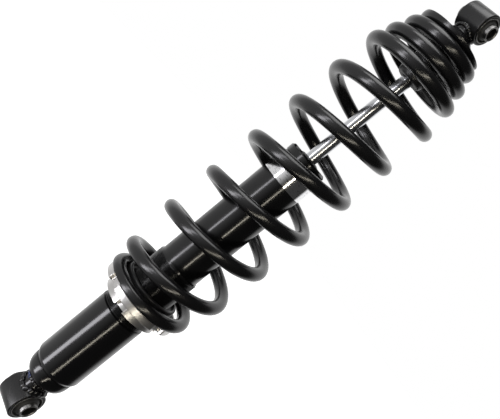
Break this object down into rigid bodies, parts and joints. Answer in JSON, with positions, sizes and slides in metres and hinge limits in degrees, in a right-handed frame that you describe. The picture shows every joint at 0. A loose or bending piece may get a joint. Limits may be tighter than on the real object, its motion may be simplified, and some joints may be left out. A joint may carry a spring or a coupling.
{
  "type": "coil-over shock absorber",
  "caption": "Coil-over gas damper strut: bushed eye at each end, threaded body with slotted preload nut and lock ring, barrel coil spring on a chromed rod.",
  "frame": {"origin": "centre of the lower eye, on its bolt axis", "axes": "+Z along the damper towards the upper eye; both eyes' bolt axes run along Y"},
  "size_m": [0.1083, 0.1092, 0.5645],
  "materials": {
    "gloss_black": "gloss black baked paint over steel",
    "spring_coating": "thick semi-gloss black powder coat over spring steel",
    "aluminium_rings": "bright turned aluminium with satin slot floors",
    "chromed_rod": "ground and polished hard chrome",
    "plated_steel": "satin plated steel",
    "bush_rubber": "matt black moulded rubber",
    "seal_rubber": "smooth black nitrile rubber",
    "black_polymer": "matt black moulded polymer",
    "bronze_band": "bronze-filled piston band",
    "label_foil": "blank silver foil sticker"
  },
  "bodies": {
    "damper_body": {"lower_eye_loop": "gloss_black", "lower_bush_shell": "plated_steel", "lower_bush_rubber": "bush_rubber", "lower_eye_neck": "gloss_black", "end_cap": "gloss_black", "body_tube": "gloss_black", "top_cap": "gloss_black", "rod_wiper": "seal_rubber", "body_label": "label_foil", "seal_head": "aluminium_rings", "rod_seal": "seal_rubber", "seal_head_o_ring": "seal_rubber", "retaining_ring": "plated_steel"},
    "rod_assembly": {"piston_rod": "chromed_rod", "piston": "plated_steel", "piston_band": "bronze_band", "rebound_shims": "plated_steel", "compression_shims": "plated_steel", "top_out_spacer": "black_polymer", "piston_nut": "plated_steel", "bump_stop": "bush_rubber", "upper_spring_retainer": "gloss_black", "upper_eye_stem": "gloss_black", "upper_eye_loop": "gloss_black", "upper_bush_shell": "plated_steel", "upper_bush_rubber": "bush_rubber"},
    "floating_piston": {"floating_piston": "aluminium_rings", "floating_piston_o_ring": "seal_rubber"},
    "spring_seat": {"lower_spring_guide": "black_polymer", "coil_spring": "spring_coating"},
    "preload_nut": {"preload_nut": "aluminium_rings"},
    "lock_ring": {"lock_ring": "aluminium_rings"},
    "lower_sleeve": {"lower_bush_sleeve": "plated_steel"},
    "upper_sleeve": {"upper_bush_sleeve": "plated_steel"}
  },
  "joints": [
    {"name": "damper_stroke", "type": "slide", "parent": "damper_body", "child": "rod_assembly", "axis": [0, 0, -1], "range_m": [0, 0.105], "stiffness_N_per_m": 20000, "springref_m": -0.012, "deforming": ["coil_spring"]},
    {"name": "floating_piston_slide", "type": "slide", "parent": "damper_body", "child": "floating_piston", "axis": [0, 0, -1], "range_m": [0, 0.012]},
    {"name": "preload_travel", "type": "slide", "parent": "damper_body", "child": "spring_seat", "axis": [0, 0, 1], "range_m": [-0.003, 0]},
    {"name": "preload_turn", "type": "hinge", "parent": "spring_seat", "child": "preload_nut", "pos_m": [0, 0, 0.152], "axis": [0, 0, 1], "range_deg": [-720, 0]},
    {"name": "lock_ring_turn", "type": "hinge", "parent": "spring_seat", "child": "lock_ring", "pos_m": [0, 0, 0.143], "axis": [0, 0, 1], "range_deg": [-90, 0]},
    {"name": "lower_bush_twist", "type": "hinge", "parent": "damper_body", "child": "lower_sleeve", "pos_m": [0, 0, 0], "axis": [0, 1, 0], "range_deg": [-20, 20], "stiffness_Nm_per_rad": 20},
    {"name": "upper_bush_twist", "type": "hinge", "parent": "rod_assembly", "child": "upper_sleeve", "pos_m": [0, 0, 0.532], "axis": [0, 1, 0], "range_deg": [-20, 20], "stiffness_Nm_per_rad": 20}
  ],
  "couplings": [
    {"joint": "floating_piston_slide", "follows": "damper_stroke", "ratio": 0.1082},
    {"joint": "preload_turn", "follows": "preload_travel", "rad_per_m": 4188.8}
  ]
}
